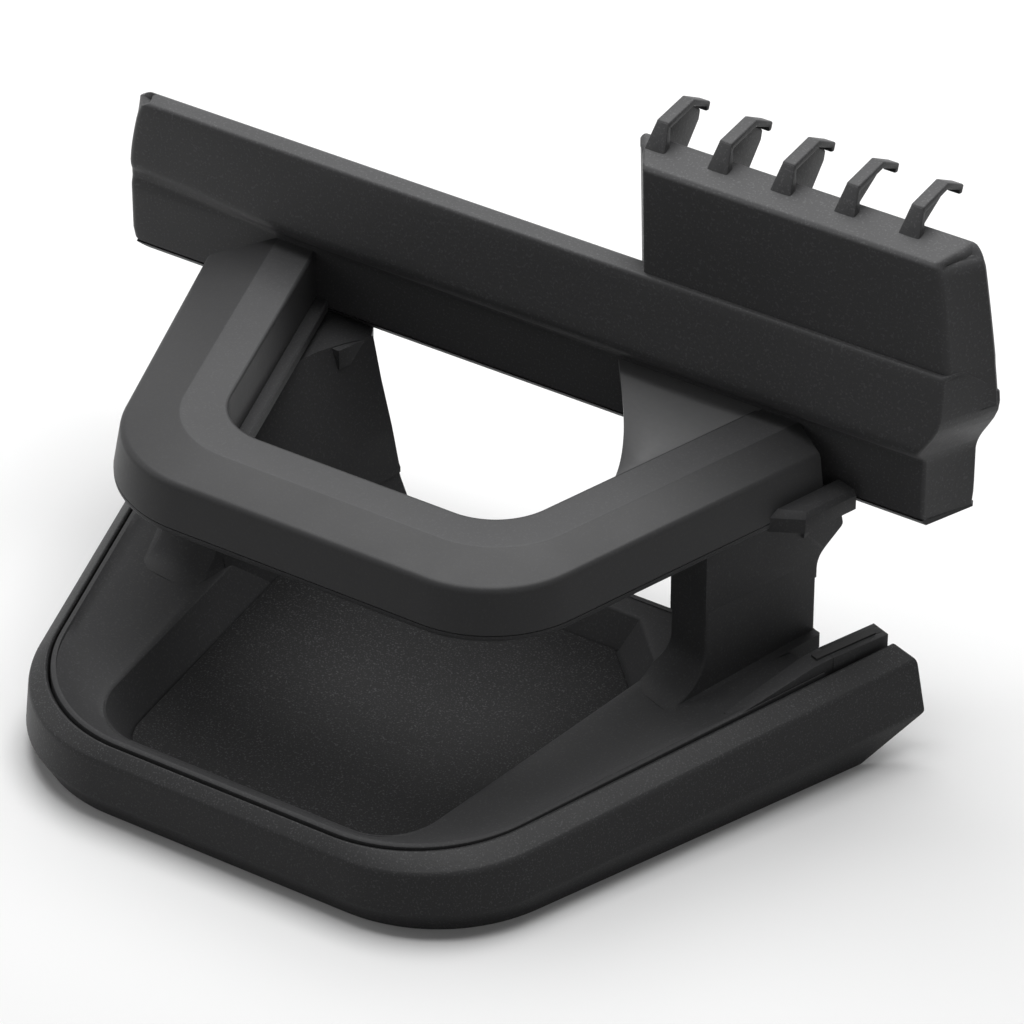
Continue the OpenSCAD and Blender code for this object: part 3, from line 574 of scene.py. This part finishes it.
# Bumper. The base shell is a black moulding with a fine pale speckle. Its rim bulges round the tray, the
# foot is set in below a chamfer, and its rear ends are cut square above a sloping underside.
rim_front_y, rim_left, rim_right, rim_r = 95.0, 89.0, 94.5, 40.0
rim_flares = (math.radians(15.6), math.radians(20.7))
flares = (math.radians(15.6), math.radians(21))
bumper_rear = 35.0
rim_z, tray_front = 19.5, 100.8
tilt = 8 / (tray_front + bumper_rear)
chamfer_z, end_run, end_z = 6.5, 15.5, 9.6

bumper_black = plastic("bumper_black", (0.026, 0.026, 0.0268), 0.46, 1.3, 0.035, speckle=1.3,
                       speckle_per_mm=2.2, shine=0.18)


def end_y(z):
    """Where the bumper's square rear ends stand: they slope forward under end_z."""
    return min(bumper_rear, bumper_rear - end_run + end_run * z / end_z)


def bumper_row(front, left, right, z, lifted):
    """One line round the bumper, out from the rim by its widths, and lifted with the rim's slope, the
    widest part more so on the right."""
    up_chamfer = min(z / chamfer_z, 1)
    rears = (end_y(z), end_y(z + 3.4 * up_chamfer))
    line = horseshoe(rim_front_y + front, rim_left + left, rim_right + right, flares, rim_r, rears)
    more = (1 - lifted) * 0.5 * up_chamfer
    rise = [(lifted + more * min(max(x / 60, 0), 1)) * tilt * (y + tray_front) for x, y in line]
    return np.array([(x, y, z + up) for (x, y), up in zip(line, rise)])


def rim_outline(inset, rear):
    """The tray's rim seen from above, inset mm inside its edge."""
    return horseshoe(rim_front_y - inset, rim_left - inset / math.cos(rim_flares[0]),
                     rim_right - inset / math.cos(rim_flares[1]), rim_flares, rim_r - inset, (rear, rear))


def rim_row(inset, z):
    """One line along the groove between the bumper and the tray."""
    return np.array([(x, y, z + tilt * (y + tray_front)) for x, y in rim_outline(inset, end_y(z))])


corners = [(1.8, 1.2, 6.5, 0, 0), (2.8, 2.2, 7.5, 0, 0), (5.8, 5.2, 10.5, chamfer_z, 0),
           (4.6, 4.4, 7.8, 16.8, 1), (1.0, 0.9, 1.0, 19.3, 1), (0.45, 0.35, 0.35, 18.7, 1),
           (0.4, 0.3, 0.3, 17, 1)]
bumper_rows = [bumper_row(*p) for p in eased(corners, [0.3, 0.7, 1.2, 0.8, 0.2], 6)]
bumper_rows += [rim_row(-0.2, 16), rim_row(0, 3)]
bumper = make("base_shell_skin", *skin(bumper_rows, around=True, closed=False), bumper_black)
floor_line = horseshoe(rim_front_y + 2, rim_left + 2, rim_right + 6, flares, rim_r, (19, 19))
base_floor = make("base_floor", *skin([flat(floor_line, 0.02), flat(floor_line, 3.0)]), bumper_black)
for piece in (bumper, base_floor):
    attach(piece, "root")
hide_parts("base_shell")


# Tray and pillars. The holder frame is one moulding: the rim dishes down to a well that takes the cup's
# foot, two pillars rise from it, and a thin plate on them backs the ring cover and hangs from the bar.
well_front, well_r, well_cut = 87.0, 16.0, 14
well_left, well_right = 53.2, 61
well_flares = (math.atan(0.06), math.atan(0.19))
well_z, floor_z = 15, 5.2
dish_sag = 0.9
tray_rear, rear_rim_z, rim_cut = 23.0, 23.0, 6

dark_frame = plastic("dark_frame", (0.047, 0.047, 0.0483), 0.5, 1.0, 0.03, speckle=0.35,
                     speckle_per_mm=1.8, shine=0.12)


def loop_row(line, cut, z, lifted=1.0, rear_z=None):
    """A closed line from a horseshoe, with its rear corners cut off by cut and no higher there than
    rear_z."""
    rear = line[0][1] + cut
    rear_line = [(x, rear) for x in np.linspace(line[-1][0] - cut, line[0][0] + cut, 12)]
    points = [(x, y, z + lifted * tilt * (y + tray_front)) for x, y in list(line) + rear_line]
    if rear_z is not None:
        points = [(x, y, min(h, rear_z)) if y > rear - 0.5 else (x, y, h) for x, y, h in points]
    return np.array(points)


def rim_loop(inset, z, lifted=1.0, rear_z=rear_rim_z):
    """One closed line round the tray, inset mm inside the rim's edge."""
    return loop_row(rim_outline(inset, tray_rear - inset - rim_cut), rim_cut, z, lifted, rear_z)


def well_loop(out, z, out_left=None):
    """One line of the well's wall, out mm outside its edge, or out_left mm on the left."""
    rear = tray_rear - 7 + out - well_cut
    left = well_left + (out if out_left is None else out_left)
    line = horseshoe(well_front + out, left, well_right + out, well_flares, well_r + out, (rear, rear))
    return loop_row(line, well_cut, z)


def dish_z(x, y):
    """Height of the tray's dish between the well's edge and the rim."""
    side = 0 if x < 0 else 1
    inner = (well_left, well_right)[side] + math.tan(well_flares[side]) * y
    outer = (rim_left, rim_right)[side] + math.tan(rim_flares[side]) * y
    share = min(max((abs(x) - inner) / (outer - inner), 0), 1)
    level = well_z + (rim_z - well_z) * share - dish_sag * math.sin(math.pi * share)
    return level + tilt * (y + tray_front)


outer, edge = rim_loop(0.2, 0), well_loop(0, 0)
at_rear = outer[:, 1] > tray_rear - 1
rim_h, well_h = np.where(at_rear, rear_rim_z, outer[:, 2] + rim_z), edge[:, 2] + well_z
dish_rows = []
for t in np.linspace(0, 1, 12)[1:-1]:
    blend = outer + (edge - outer) * t
    blend[:, 2] = rim_h + (well_h - rim_h) * t - dish_sag * math.sin(math.pi * t) * ~at_rear
    dish_rows.append(blend)
tray_rows = [rim_loop(0.2, 3.2, 0, None), rim_loop(0.2, rim_z - 0.9), rim_loop(0.4, rim_z - 0.35),
             rim_loop(0.8, rim_z - 0.1), rim_loop(1.6, rim_z - 0.05)] + dish_rows
tray_rows += [well_loop(0.8, well_z + 0.25), well_loop(0.2, well_z), well_loop(-0.15, well_z - 0.5),
              well_loop(-3.1, floor_z + 1.2, -5.6), well_loop(-3.6, floor_z + 0.3, -6.1),
              well_loop(-4.6, floor_z, -7)]
tray = skin(tray_rows)


def tilted_frame(x, y, turn):
    """Turns points about (x, y), for what stands in line with a flaring side."""
    c, s = math.cos(turn), math.sin(turn)
    return lambda points: [(x + c * u - s * v, y + s * u + c * v, z) for u, v, z in points]


def on_dish(points, height):
    """Sets a pillar's foot line the given height above the dish, clear of the well on the right."""
    edge = [x if x < 0 else max(x, 61.4 + 0.19 * y) for x, y, z in points]
    return [(x, y, dish_z(x, y) + height) for x, (_, y, _) in zip(edge, points)]


def rounded_box(u0, v0, u1, v1, r, z):
    """A rectangle with round corners as points (u, v, z)."""
    out = []
    for cu, cv, q0 in ((u1 - r, v1 - r, 0), (u0 + r, v1 - r, 90), (u0 + r, v0 + r, 180),
                       (u1 - r, v0 + r, 270)):
        for q in np.linspace(q0, q0 + 90, 5):
            a = math.radians(q)
            out.append((cu + r * math.cos(a), cv + r * math.sin(a), z))
    return out


pillar_x, pillar_wide, pillar_front, pillar_rear = 89.8, 13, -43.4, -7.2
pillar_r, fillet, sunk = 0.9, 12, 0.15
right_turn = tilted_frame(pillar_x, bar_y, -ring_flare)


def fillet_steps():
    """The fillet round a pillar's root, from the dish up: each line's width outward and height."""
    for q in np.radians(np.linspace(0, 90, 13)):
        yield fillet * (1 - math.sin(q)), fillet * (1 - math.cos(q))


pillar_rows = []
for f, up in fillet_steps():
    u0, u1 = -pillar_wide - 0.7 * f, 0.8 * max(f - 9, 0)
    root = rounded_box(u0, pillar_front - f, u1, pillar_rear, pillar_r, 0)
    pillar_rows.append(on_dish(right_turn(root), up - sunk))
pillar_rows = [[(x, y, 14.0) for x, y, z in pillar_rows[0]]] + pillar_rows
pillar_rows.append(right_turn(rounded_box(-pillar_wide, pillar_front, 0, pillar_rear, pillar_r, 45.2)))
right_pillar = skin(pillar_rows)
side_view = eased([(-43.38, 40), (-43.38, frame_z - 1), (-16, frame_z - 1), (-16, bar_z), (0, bar_z),
                   (0.3, bar_z - 4), (1.2, bar_z - 8), (-4.2, bar_z - 12), (-7.2, bar_z - 14.5),
                   (-7.22, 40)], [0, 0, 0, 0, 0.8, 1, 2, 3, 0], 6)
upper_points, upper_faces = slab(side_view, -pillar_wide + 0.02, -0.02)
upper_pillar = (right_turn(upper_points), upper_faces)
tab_low = [(0.02, -24), (6.5, -17.5), (6.5, -1), (0.02, -1)]
tab_high = [(0.02, -21), (5.6, -16.5), (5.6, -1), (0.02, -1)]
tab_rows = (tab_low, ring_top - 17), (tab_low, ring_top - 13), (tab_high, ring_top - 11.6)
tab = skin([right_turn([(u, v, z) for u, v in line]) for line, z in tab_rows])


left_rear = bar_y - 2


def inner_x(y, z):
    """Inner face of the left pillar. It turns outward at the top and spreads a little at the well."""
    turn = 0.42 * min(left_rear - y, 11) * max(0, min(1, (z - 30) / 30))
    spread = 3.4 * max(0, min(1, (21 - z) / 16))
    return -46.8 + 0.19 * (bar_z - z) + 0.24 * (y - left_rear) - turn + spread


def left_line(f, height):
    """One line round the left pillar, whose front stands f mm further forward."""
    front_y = left_rear - 58 - f
    front_x, rear_x = -71.5, max(-92.0 - f / 3, -rim_left - math.tan(rim_flares[0]) * left_rear + 2)
    corner_cut, corner_mid = 1.8, 0.6
    steps = np.linspace(0, 1, 9)
    side_y = front_y + corner_cut + (left_rear - front_y - corner_cut) * steps
    outside = [(front_x + (rear_x - front_x) * t, y) for t, y in zip(steps, side_y)]
    inside = [(inner_x(y, height), y) for y in side_y]
    line = outside[::-1] + [(front_x + corner_mid, front_y + corner_mid), (front_x + corner_cut, front_y)]
    line += [(inside[0][0] - corner_cut, front_y), (inside[0][0] - corner_mid, front_y + corner_mid)]
    return [(x, y, height) for x, y in line + inside]


left_rows = [on_dish(left_line(f, 20 + up), up - sunk) for f, up in fillet_steps()]
left_rows = [[(x, y, z - 1.5) for x, y, z in left_rows[0]]] + left_rows
left_rows += [left_line(0, z) for z in np.linspace(bar_z - 12, bar_z - 0.1, 3)]
left_pillar = skin(left_rows)
infill_y = np.linspace(-20, left_rear, 9)
infill = skin([[(-54, y, z) for y in infill_y] + [(inner_x(y, z), y, z) for y in infill_y[::-1]]
               for z in np.linspace(5, 23, 7)])

backing = [(0.3, 1, -2.2), (band + 0.8, 1, -2.2), (band + 1.6, 1, -1.6), (band + 1.95, 1, -0.9),
           (band + 1.95, 1, -0.02), (0.5, 0, -0.02), (0.3, 0, 1.0), (-2.9, 0, 1.0), (-3.4, 0, 0.6),
           (-3.4, 0, -1.8), (-3.0, 0, -2.2)]
ring_plate = skin([ring_row(b, f, frame_z + z) for b, f, z in backing], around=True, closed=False)
frame_parts = join(tray, right_pillar, left_pillar, infill, ring_plate)
frame_piece = make("holder_frame_skin", *frame_parts, dark_frame)


# Rails, rear arms and brackets, moulded with the frame. The rails carry a rubber strip on top of the
# tray's arms and run out forward in ramps. The brackets take the screws that hold the bar.
rail_z = rim_z + tilt * (tray_front + tray_rear)
rail_front = -17


def box(low, high):
    """A plain block between two corners, for bevelled()."""
    (x0, y0, z0), (x1, y1, z1) = low, high
    points = [(x, y, z) for z in (z0, z1) for x, y in ((x0, y0), (x1, y0), (x1, y1), (x0, y1))]
    return points, [(3, 2, 1, 0), (4, 5, 6, 7), (0, 1, 5, 4), (1, 2, 6, 5), (2, 3, 7, 6), (3, 0, 4, 7)]


solids = [upper_pillar, tab]
for side, half, flare in ((-1, rim_left, rim_flares[0]), (1, rim_right, rim_flares[1])):
    turn = tilted_frame(half + math.tan(flare) * bumper_rear - 0.4, bumper_rear, -flare)

    def placed(part, side=side, turn=turn):
        """A part set in line with this side's flare, and mirrored on the left."""
        points, faces = part
        return [(side * x, y, z) for x, y, z in turn(points)], [f[::side] for f in faces]

    # Two walls, the wall at the rear end and the floor that the strip lies on.
    for u0, u1, v0, v1, z1 in ((-5.6, -4.1, rail_front, 0, 2.6), (-1.7, 0, rail_front, 0, 2.6),
                               (-4.2, -1.6, -2.4, 0, 2.6), (-4.2, -1.6, rail_front, -2.3, 0.6)):
        solids.append(placed(box((u0, v0, rail_z - 6), (u1, v1, rail_z + z1))))
    solids.append(placed(box((-6.6, rail_front, 12.8), (-0.2, 0, rail_z - 0.6))))
    ramp = [[(u, v, rail_z + z) for u, z in ((inner, -6), (-0.2, -6), (-0.2, top), (inner, top))]
            for v, inner, top in ((-16.6, -5.6, 2.55), (-23, -5.4, 2.2), (-48, -3.6, -2.6))]
    solids.append(placed(skin(ramp)))
solids.append(box((pillar_x - 28, bar_y - 12, bar_z - 6), (pillar_x - 3, bar_y + 10, bar_z - 0.1)))
left_block = [(-78.8, bar_y - 12), (-50.5, bar_y - 12), (-47.4, bar_y - 2.1), (-49.3, bar_y + 1.6),
              (-54.6, bar_y + 9.5), (-78.8, bar_y + 9.5)]
solids.append(skin([flat(left_block, bar_z - 6), flat(left_block, bar_z - 0.4)]))
fittings = bevelled("frame_fittings", solids, dark_frame, 0.8)
for piece in (frame_piece, fittings):
    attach(piece, "root")
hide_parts("holder_frame")


# Floor mat. A thin rubber sheet lies loose on the well's floor, with a cut edge and a fine pale speckle.
mat_rubber = plastic("mat_rubber", (0.015, 0.015, 0.0155), 0.68, 1.6, 0.12, speckle=2.4,
                     speckle_per_mm=2.2, shine=0.15)
mat_rows = [well_loop(-3.8, floor_z, -6.3), well_loop(-3.8, floor_z + 1.1, -6.3),
            well_loop(-4.1, floor_z + 1.4, -6.6)]
mat = make("floor_mat_skin", *skin(mat_rows), mat_rubber)
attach(mat, "root")
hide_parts("floor_mat")


# Parts kept from the CAD model: the back plate, the strips, the pads and the screws already have their
# true shapes, so they only take their materials.
matte_black = plastic("matte_black", (0.024, 0.024, 0.025), 0.55, 0.9, 0.02)
strip_rubber = plastic("strip_rubber", (0.026, 0.026, 0.0265), 0.55, 2.0, 0.03)
pad_foam = plastic("pad_foam", (0.011, 0.011, 0.0112), 0.85, 2.5, 0.15, speckle=0.4)


def plated(name, colour, roughness):
    """Plated steel with a turned look: fine scratches in the roughness and faint stains."""
    made = Surface(name)
    scratch = made.noise(4.0, 4.0)
    level = scratch * 0.2 + made.noise(0.5) * 0.2 + 0.8
    made.tint(colour, level)
    made.drive("Roughness", scratch * 0.2 + roughness)
    made.bump(scratch, 0.01, 0.5)
    made.shader.inputs["Metallic"].default_value = 1.0
    return made.material


screw_steel = plated("screw_steel", (0.5, 0.5, 0.51), 0.3)
for name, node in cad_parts.items():
    if node.hide_render:
        continue
    if name.startswith("rail_strip"):
        finish = strip_rubber
    elif name.startswith("foam_pad"):
        finish = pad_foam
    elif "screw" in name:
        finish = screw_steel
    else:
        finish = matte_black
    node.data.materials.clear()
    node.data.materials.append(finish)


# Stage: a pale floor, a white backdrop that only the camera and reflections see, three soft lights and
# the camera that was fitted to the photograph.
floor_mesh = bpy.data.meshes.new("floor")
floor_mesh.from_pydata([(-4, -4, 0), (4, -4, 0), (4, 4, 0), (-4, 4, 0)], [], [(0, 1, 2, 3)])
floor = bpy.data.objects.new("floor", floor_mesh)
bpy.context.scene.collection.objects.link(floor)
pale = Surface("pale_floor")
pale.drive("Roughness", pale.noise(0.005) * 0.1 + 0.7)


def seen_directly(tree):
    """1 for rays from the camera, a reflection or a clear piece, and 0 for light that falls on things."""
    path = tree.nodes.new("ShaderNodeLightPath")
    seen = Maths(tree, path.outputs["Is Camera Ray"])
    for ray in ("Is Glossy Ray", "Is Transmission Ray"):
        seen = seen.join("MAXIMUM", Maths(tree, path.outputs[ray]))
    return seen


seen = seen_directly(pale.tree)
shade = pale.add("ShaderNodeCombineColor", {key: 0.32 + seen * 0.6 for key in ("Red", "Green", "Blue")})
pale.drive("Base Color", shade.outputs["Color"])
floor.data.materials.append(pale.material)

world = bpy.data.worlds.new("studio")
bpy.context.scene.world = world
world.use_nodes = True
ambient = 0.09
backdrop = world.node_tree.nodes["Background"]
backdrop.inputs["Color"].default_value = (1, 1, 1, 1)
level = ambient + seen_directly(world.node_tree) * (1 - ambient)
world.node_tree.links.new(level.socket, backdrop.inputs["Strength"])


def softbox(name, place, width, depth, power):
    """A rectangular lamp that points at the holder's tray."""
    aim = Vector((0, 0, 0.05))
    data = bpy.data.lights.new(name, "AREA")
    data.shape = "RECTANGLE"
    data.size, data.size_y, data.energy = width, depth, power
    lamp = bpy.data.objects.new(name, data)
    bpy.context.scene.collection.objects.link(lamp)
    lamp.location = place
    lamp.rotation_mode = "QUATERNION"
    lamp.rotation_quaternion = (aim - Vector(place)).to_track_quat("-Z", "Y")


softbox("overhead", (-0.12, 0.3, 0.95), 0.9, 0.9, 13)
softbox("left", (-0.9, -0.3, 0.5), 0.6, 0.6, 1.2)
softbox("right", (0.9, -0.5, 0.5), 0.5, 0.7, 0.6)

camera = bpy.data.objects.new("camera", bpy.data.cameras.new("camera"))
bpy.context.scene.collection.objects.link(camera)
bpy.context.scene.camera = camera
camera.data.sensor_width = 36
camera.data.lens = 214.0
camera.data.clip_start, camera.data.clip_end = 0.05, 20
camera.location = (0.69298, -1.03033, 0.89949)
camera.rotation_mode = "QUATERNION"
camera.rotation_quaternion = Vector((-0.4505, 0.6898, -0.5667)).to_track_quat("-Z", "Y")
bpy.context.scene.view_settings.view_transform = "Standard"
